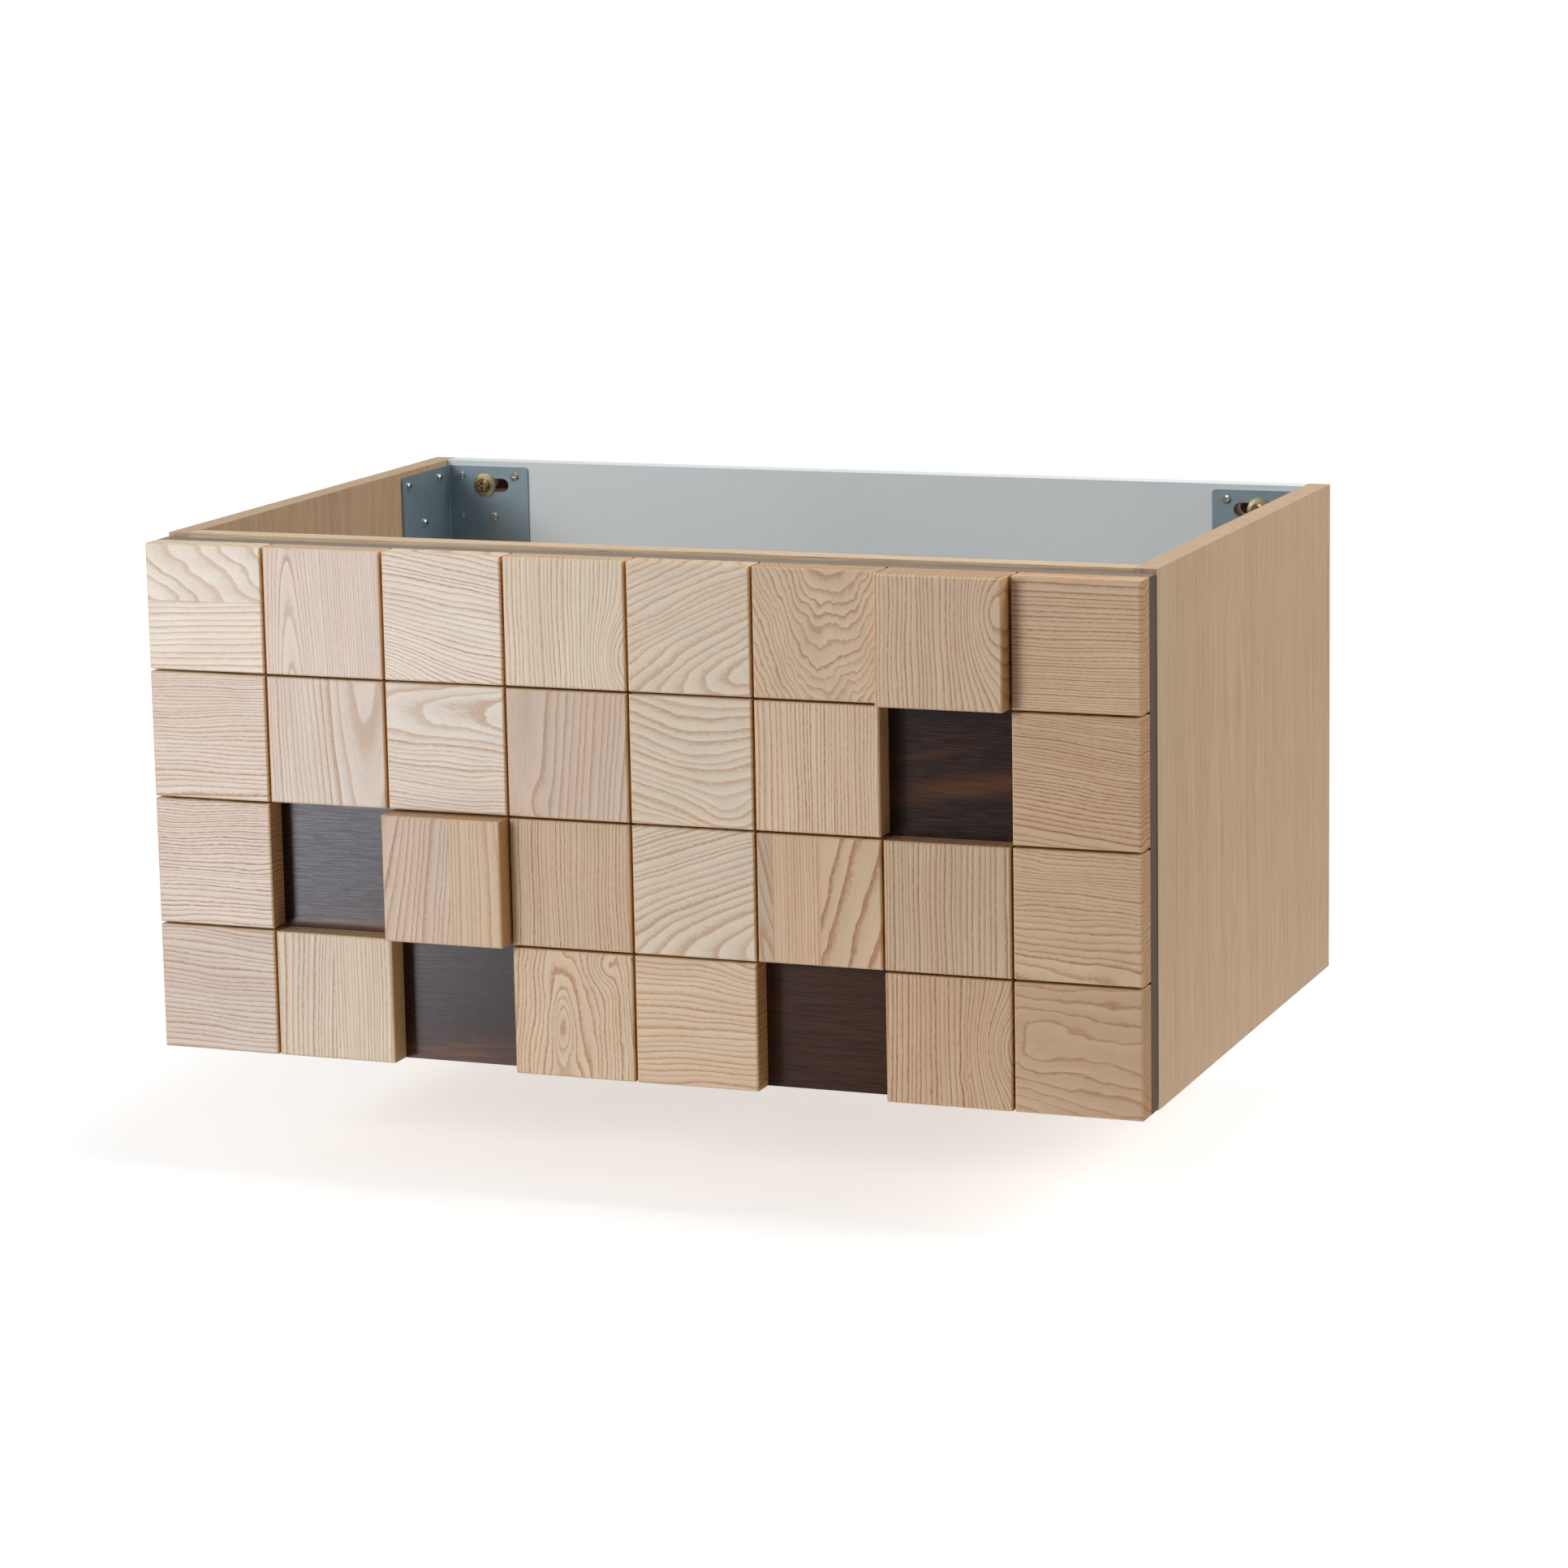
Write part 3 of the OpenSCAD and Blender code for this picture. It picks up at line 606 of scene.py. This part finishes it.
# Where the dark veneer turns brown: (x, z, length, width, rise, amount) of each streak, in mm
BROWN_STREAKS = (
    (262, 238, 70, 8, 11, 0.85),
    (236, 262, 30, 4, 5, 0.3),
    (150, 52, 120, 80, 0, 0.3),
    (-150, 8, 80, 13, 0, 0.8),
    (-222, 104, 60, 9, 0, 0.8),
)


def carrier_material():
    """Dark stained veneer with short level pores, warm brown streaks and paler edge bands, with
    painted light making the bands paler where they face up or down.
    """
    material, g, shader = new_material("wenge_board")
    point = g.point()
    x, _, z = g.split(point)
    pores = g.noise(g.vector("MULTIPLY", point, (0.06, 2.4, 2.4)), 2.0, 0.6)
    fibre = g.noise(g.vector("MULTIPLY", point, (0.02, 0.35, 0.35)), 3.0, 0.6)
    brown = 0.0
    for middle_x, middle_z, length, width, rise, amount in BROWN_STREAKS:
        beside = g.math("DIVIDE", g.math("SUBTRACT", x, middle_x), length)
        level = g.add(g.mul(beside, float(rise)), middle_z)
        above = g.math("DIVIDE", g.math("SUBTRACT", z, level), width)
        away = g.add(g.mul(beside, beside), g.mul(above, above))
        bell = g.math("EXPONENT", g.mul(away, -1.0))
        brown = g.math("MAXIMUM", brown, g.mul(bell, amount))
    brown = g.mul(brown, g.ramp(fibre, 0.3, 0.62, 0.25, 1.0))
    colour = g.mix(brown, VENEER_DARK, VENEER_BROWN)
    colour = g.mix(g.ramp(pores, 0.46, 0.64, 0.0, 0.55), colour, VENEER_PORE)
    facing = g.split(g.vector("ABSOLUTE", g.normal()))
    band = g.ramp(facing[1], 0.3, 0.9, 1.0, 0.0)
    # Painted light: the band is paler where it faces up or down than on the sides
    band_colour = g.mix(g.ramp(facing[2], 0.3, 0.9), BAND_SIDE, BAND_TOP_PAINTED_LIGHT)
    colour = g.mix(band, colour, g.shade(band_colour, g.ramp(pores, 0.3, 0.7, 0.9, 1.1)))
    g.put(shader.inputs["Base Color"], colour)
    gloss = g.ramp(pores, 0.35, 0.65, 0.24, 0.33)
    g.put(shader.inputs["Roughness"], g.add(gloss, g.mul(band, 0.2)))
    shader.inputs["Specular IOR Level"].default_value = 0.32
    g.put(shader.inputs["Normal"], g.bump(pores, 0.009))
    return material


paint(["front_carrier"], carrier_material())
round_edges(["front_carrier"], 0.5)


# Painted highlight on the rounded edges of the film
FILM_EDGE_HIGHLIGHT = srgb(236, 240, 240)
FILM_MOTTLE = 0.02
RAW_BOARD_DARK = srgb(150, 112, 72)
RAW_BOARD_LIGHT = srgb(202, 168, 122)


def film_material(name, colour, roughness, cut_within=None):
    """Melamine film on a board: an even colour with a fine pearl, a slightly wavy gloss and a
    painted highlight on its edges.

    cut_within is the half width and the height inside which sides are cut-outs of raw board.
    """
    material, g, shader = new_material(name)
    point = g.point()
    cloud = g.noise(g.scaled(point, 0.01), 3.0)
    grain = g.noise(g.scaled(point, 2.2), 3.0, 0.7)
    tone = g.ramp(cloud, 0.25, 0.75, 1 - FILM_MOTTLE, 1 + FILM_MOTTLE, "LINEAR")
    shaded = g.shade(colour, tone)
    # Painted highlight along the rounded edges
    shaded = g.mix(g.mul(edge_highlight_mask(g), 0.5), shaded, FILM_EDGE_HIGHLIGHT)
    if cut_within:
        x, _, z = g.split(point)
        inside = g.math("LESS_THAN", g.math("ABSOLUTE", x), cut_within[0])
        inside = g.mul(inside, g.math("LESS_THAN", z, cut_within[1]))
        facing = g.math("ABSOLUTE", g.split(g.normal())[1])
        cut = g.mul(inside, g.math("LESS_THAN", facing, 0.5))
        chips = g.noise(g.vector("MULTIPLY", point, (0.5, 0.9, 0.5)), 3.0, 0.7)
        raw = g.mix(g.ramp(chips, 0.35, 0.65), RAW_BOARD_DARK, RAW_BOARD_LIGHT)
        shaded = g.mix(cut, shaded, raw)
    g.put(shader.inputs["Base Color"], shaded)
    g.put(shader.inputs["Roughness"], g.ramp(grain, 0.3, 0.7, roughness - 0.05, roughness + 0.07))
    shader.inputs["Specular IOR Level"].default_value = 0.45
    g.put(shader.inputs["Normal"], g.bump(grain, 0.02))
    return material


# The outer edges of the back panel have the film; from this far in, its edges are sawn
RIM = 2.0
DRAWER_BOARDS = ["left_drawer_side", "right_drawer_side", "drawer_inner_front",
                 "left_drawer_back", "right_drawer_back"]


def finish_film_boards():
    _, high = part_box("back_panel")
    cut_within = (high.x / MM - RIM, high.z / MM - RIM)
    paint(["back_panel"], film_material("white_board", srgb(230, 237, 240), 0.42, cut_within))
    paint(DRAWER_BOARDS, film_material("drawer_board", srgb(203, 205, 206), 0.5))
    paint(["drawer_bottom"], film_material("drawer_base", srgb(206, 208, 209), 0.5))
    round_edges(["back_panel", "drawer_bottom"] + DRAWER_BOARDS, 0.4)


finish_film_boards()

# ---------------------------------------------------------------- metal and plastic


# How much paler the painted highlight on metal edges is
EDGE_HIGHLIGHT_GAIN = 1.35


def metal_material(name, colour, roughness, metallic=1.0, speckle=0.12, brushed=None):
    """Metal with a finely speckled or brushed surface and a painted highlight on its edges. speckle
    is how much the tone varies, and brushed how fine the brushing is along X, Y and Z."""
    material, g, shader = new_material(name)
    point = g.point()
    place = g.vector("MULTIPLY", point, brushed) if brushed else g.scaled(point, 1.6)
    grain = g.noise(place, 4.0, 0.7)
    cloud = g.noise(g.scaled(point, 0.06), 3.0)
    uneven = g.add(g.mul(grain, 0.7), g.mul(cloud, 0.3))
    shaded = g.shade(colour, g.ramp(uneven, 0.3, 0.7, 1 - speckle, 1 + speckle, "LINEAR"))
    # Painted highlight: the rounded edges are made paler
    highlight_colour = tuple(min(1.0, EDGE_HIGHLIGHT_GAIN * value) for value in colour[:3]) + (1.0,)
    shaded = g.mix(g.mul(edge_highlight_mask(g), 0.5), shaded, highlight_colour)
    g.put(shader.inputs["Base Color"], shaded)
    shader.inputs["Metallic"].default_value = metallic
    g.put(shader.inputs["Roughness"], g.ramp(grain, 0.3, 0.7, roughness - 0.06, roughness + 0.08))
    g.put(shader.inputs["Normal"], g.bump(grain, 0.02))
    return material


BRACKETS = ["left_hanging_bracket", "right_hanging_bracket"]
RUNNERS = [f"{side}_{member}_runner" for side in ("left", "right")
           for member in ("cabinet", "middle", "drawer")]
paint(BRACKETS, metal_material("zinc_plate", srgb(138, 157, 167), 0.42, metallic=0.75,
                               speckle=0.14))
paint(["bracket_screws", "front_fixing_screws"],
      metal_material("nickel_screw", srgb(196, 196, 190), 0.24))
paint(["cabinet_runner_screws", "drawer_runner_screws"],
      metal_material("zinc_screw", srgb(178, 180, 182), 0.3))
paint(["wall_washers"], metal_material("yellow_zinc", srgb(184, 174, 138), 0.36))
paint(["wall_screws"], metal_material("bronze_screw", srgb(142, 116, 84), 0.36))
paint(["cam_fittings"], metal_material("cast_zinc", srgb(168, 168, 170), 0.4))
paint(RUNNERS, metal_material("runner_steel", srgb(186, 190, 194), 0.3, speckle=0.08,
                              brushed=(3.0, 0.04, 3.0)))
paint(["outer_ball_cages", "inner_ball_cages"],
      metal_material("ball_steel", srgb(190, 192, 194), 0.22))


def plastic_material(name, colour, roughness):
    """Moulded plastic with a fine spark-eroded texture."""
    material, g, shader = new_material(name)
    point = g.point()
    grain = g.noise(g.scaled(point, 1.8), 3.0, 0.7)
    g.put(shader.inputs["Base Color"], g.shade(colour, g.ramp(grain, 0.3, 0.7, 0.94, 1.05)))
    g.put(shader.inputs["Roughness"], g.ramp(grain, 0.3, 0.7, roughness, roughness + 0.12))
    g.put(shader.inputs["Normal"], g.bump(grain, 0.05))
    return material


paint(["siphon_liner"], plastic_material("grey_plastic", srgb(132, 135, 138), 0.42))
paint(["front_bumpers"], plastic_material("soft_stop", srgb(228, 230, 228), 0.35))


def dowel_material():
    """Fluted beech dowel: short brown flecks along X."""
    material, g, shader = new_material("beech")
    point = g.point()
    flecks = g.noise(g.vector("MULTIPLY", point, (0.4, 2.5, 2.5)), 2.0)
    colour = g.mix(g.ramp(flecks, 0.5, 0.7), srgb(214, 180, 142), srgb(170, 126, 88))
    g.put(shader.inputs["Base Color"], colour)
    g.put(shader.inputs["Roughness"], g.ramp(flecks, 0.3, 0.7, 0.55, 0.7))
    g.put(shader.inputs["Normal"], g.bump(flecks, 0.1))
    return material


paint(["carcass_dowels"], dowel_material())

# ---------------------------------------------------------------- screw threads

THREAD_PITCH = 3.6
THREAD_RISE = 0.75
THREAD_HALF_WIDTH = 0.55
# How far the foot of the thread is sunk into the shank
THREAD_SINK = 0.15
THREAD_STEPS = 24
SHANK_RADIUS = 4.0
# The shank narrows to a point over this length, down to this part of its radius
TIP_LENGTH = 9.0
POINT_RADIUS = 0.25
# What is left of the thread at the very point
LEAST_RISE = 0.3
HEAD_RADIUS = 6.0
# The thread starts this far behind the wall's face and stops this far before the point
NECK = 4
BARE_POINT = 2


def thread_mesh(axis_points, length):
    """A sharp helical ridge round each screw, which runs back from axis_points in mm. It rises
    over the first half turn and narrows towards the point."""
    mesh = bmesh.new()
    steps = round(length / THREAD_PITCH * THREAD_STEPS)
    for axis in axis_points:
        last = None
        for step in range(steps + 1):
            turn = 2 * math.pi * step / THREAD_STEPS
            depth = length * step / steps
            left = min(1.0, (length - depth) / TIP_LENGTH)
            rise = THREAD_RISE * min(1.0, 2 * step / THREAD_STEPS, LEAST_RISE + left)
            foot = SHANK_RADIUS * (POINT_RADIUS + (1 - POINT_RADIUS) * left) - THREAD_SINK
            crest = foot + THREAD_SINK + rise
            across, up = math.cos(turn), math.sin(turn)
            ring = []
            for radius, shift in ((foot, -THREAD_HALF_WIDTH), (crest, 0.0),
                                  (foot, THREAD_HALF_WIDTH)):
                place = axis + Vector((radius * across, depth + shift, radius * up))
                ring.append(mesh.verts.new(place * MM))
            if last:
                for a in range(3):
                    b = (a + 1) % 3
                    mesh.faces.new((last[a], ring[a], ring[b], last[b]))
            else:
                mesh.faces.new(ring)
            last = ring
        mesh.faces.new(reversed(last))
    bmesh.ops.recalc_face_normals(mesh, faces=mesh.faces)
    data = bpy.data.meshes.new("wall_screw_threads")
    mesh.to_mesh(data)
    mesh.free()
    return data


def make_threads():
    low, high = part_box("wall_screws")
    wall_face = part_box("back_panel")[1].y / MM
    across = high.x / MM - HEAD_RADIUS
    height = (low.z + high.z) / 2 / MM
    axes = [Vector((side * across, wall_face + NECK, height)) for side in (-1, 1)]
    length = high.y / MM - wall_face - NECK - BARE_POINT
    data = thread_mesh(axes, length)
    data.materials.append(NODES["wall_screws"].data.materials[0])
    threads = add_to_scene("wall_screw_threads", data)
    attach(threads, "cabinet")


make_threads()

# ---------------------------------------------------------------- floor, light and camera

FLOOR_DROP = 0.10
FLOOR_HALF = 3.0
# The floor is whole this far from the middle, and gone beyond that
FLOOR_FADE = (0.40, 0.92)
# How bright the floor is of itself: for every ray, and on top of that for the camera
FLOOR_GLOW, FLOOR_SEEN = 0.12, 0.42
# Strength of the white surroundings: as a light, and on top of that in gloss and to the camera
WORLD_LIGHT, WORLD_GLOSS, WORLD_SEEN = 0.2, 0.05, 0.85
# The camera's place in metres, how far it is turned to the left and looks down, and its roll
CAMERA_PLACE = (1.3873, -3.5249, 0.9053)
CAMERA_TURN, CAMERA_DOWN, CAMERA_ROLL = 20.303, 10.456, -0.878
# Painted shade: the wall behind the cabinet is coloured dark, for the shade it lies in
WALL_PAINTED_SHADE = (0.14, 0.12, 0.10)
FLOOR_WHITE = (0.93, 0.93, 0.93)


def from_front(graph):
    """1 on the front of a face and 0 on its back, so that a backdrop can be seen through from
    behind."""
    return graph.math("SUBTRACT", 1.0, graph.node("ShaderNodeNewGeometry").outputs["Backfacing"])


def make_sheet(name, corners, material):
    """A flat backdrop with four corners."""
    mesh = bpy.data.meshes.new(name)
    mesh.from_pydata(corners, [], [(0, 1, 2, 3)])
    mesh.materials.append(material)
    return add_to_scene(name, mesh)


def make_floor():
    """A white floor under the hanging cabinet. It fades away all round, so that it has no edge or
    horizon, and it can be looked through from below."""
    half = FLOOR_HALF
    material, g, shader = new_material("floor_paper")
    place = g.node("ShaderNodeTexCoord").outputs["Object"]
    grain = g.noise(g.scaled(place, 300), 3.0)
    g.put(shader.inputs["Base Color"], g.shade(FLOOR_WHITE, g.ramp(grain, 0, 1, 0.98, 1.0)))
    g.put(shader.inputs["Roughness"], g.ramp(grain, 0, 1, 0.7, 0.85))
    away = g.vector("LENGTH", g.vector("MULTIPLY", place, (0.75, 1.0, 0.0)))
    g.put(shader.inputs["Alpha"], g.mul(g.ramp(away, *FLOOR_FADE, 1.0, 0.0), from_front(g)))
    shader.inputs["Emission Color"].default_value = (1.0, 1.0, 1.0, 1.0)
    seen = g.node("ShaderNodeLightPath").outputs["Is Camera Ray"]
    g.put(shader.inputs["Emission Strength"], g.add(g.mul(seen, FLOOR_SEEN), FLOOR_GLOW))
    corners = [(-half, -half, 0), (half, -half, 0), (half, half, 0), (-half, half, 0)]
    floor = make_sheet("floor", corners, material)
    floor.location.z = -FLOOR_DROP
    floor.visible_glossy = False
    floor.visible_shadow = False


def make_wall():
    """The wall that the screws go into. It is no wider than the cabinet, so only the screw slots
    and the pipe opening show it, and its own back can be looked through."""
    low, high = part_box("back_panel")
    inset, gap = 10 * MM, 0.4 * MM
    left, right, bottom, top = low.x + inset, high.x - inset, low.z + inset, high.z - inset
    behind = high.y + gap
    corners = [(left, behind, bottom), (right, behind, bottom),
               (right, behind, top), (left, behind, top)]
    # Painted shade: a dark sheet that only the camera sees, where the slots and the pipe opening
    # show the shade behind the cabinet
    material, g, shader = new_material("shaded_wall")
    grain = g.noise(g.scaled(g.point(), 0.7), 3.0)
    g.put(shader.inputs["Base Color"], g.shade(WALL_PAINTED_SHADE, g.ramp(grain, 0, 1, 0.9, 1.1)))
    g.put(shader.inputs["Roughness"], g.ramp(grain, 0, 1, 0.8, 0.95))
    g.put(shader.inputs["Alpha"], from_front(g))
    wall = make_sheet("wall", corners, material)
    wall.visible_diffuse = wall.visible_glossy = wall.visible_shadow = False


def make_light(name, place, target, size, watts, colour=(1, 1, 1)):
    """A soft rectangular light at place that shines on target, both in metres."""
    data = bpy.data.lights.new(name, "AREA")
    data.shape = "RECTANGLE"
    data.size, data.size_y = size
    data.energy = watts
    data.color = colour
    light = add_to_scene(name, data)
    light.location = place
    aim = Vector(target) - Vector(place)
    light.rotation_euler = aim.to_track_quat("-Z", "Y").to_euler()
    light.visible_camera = False


def make_world():
    """A white studio: full white where the camera sees it, softer in gloss and as a light."""
    world = bpy.data.worlds.new("studio")
    world.use_nodes = True
    g = Graph(world.node_tree)
    background = world.node_tree.nodes["Background"]
    background.inputs["Color"].default_value = (1.0, 1.0, 1.0, 1.0)
    ray = g.node("ShaderNodeLightPath").outputs
    seen = g.mul(ray["Is Camera Ray"], WORLD_SEEN)
    gloss = g.mul(ray["Is Glossy Ray"], WORLD_GLOSS)
    g.put(background.inputs["Strength"], g.add(g.add(seen, gloss), WORLD_LIGHT))
    bpy.context.scene.world = world


def make_camera():
    """The camera stands to the right of the front and looks a little down on it."""
    data = bpy.data.cameras.new("camera")
    data.lens = 110.2
    data.sensor_width = 36.0
    data.shift_x = -0.0507
    data.shift_y = -0.0226
    data.clip_end = 200
    camera = add_to_scene("camera", data)
    turn = Matrix.Rotation(math.radians(CAMERA_TURN), 4, "Z")
    tilt = Matrix.Rotation(math.radians(90 - CAMERA_DOWN), 4, "X")
    roll = Matrix.Rotation(math.radians(CAMERA_ROLL), 4, "Z")
    camera.matrix_world = Matrix.Translation(CAMERA_PLACE) @ turn @ tilt @ roll
    bpy.context.scene.camera = camera


make_floor()
make_wall()
make_light("key", (-1.3, -2.9, 1.25), (-0.1, -0.28, 0.2), (0.8, 0.8), 35.6)
make_light("left", (-1.5, -1.0, 0.9), (-0.3, -0.28, 0.25), (0.5, 0.9), 3)
make_light("low", (-1.35, -2.1, -0.15), (-0.25, -0.28, 0.1), (0.6, 0.7), 16.6, (0.93, 0.97, 1.08))
make_light("side", (2.5, 0.5, 1.4), (0.4, 0.0, 0.2), (1.2, 1.2), 35)
make_light("top", (0.55, 0.1, 2.4), (0.1, 0, 0.3), (1.4, 1.2), 26)
make_light("back", (-1.2, 2.6, 0.9), (0, -0.25, 0.4), (2.0, 0.8), 4)
make_world()
make_camera()
bpy.context.scene.view_settings.view_transform = "Standard"
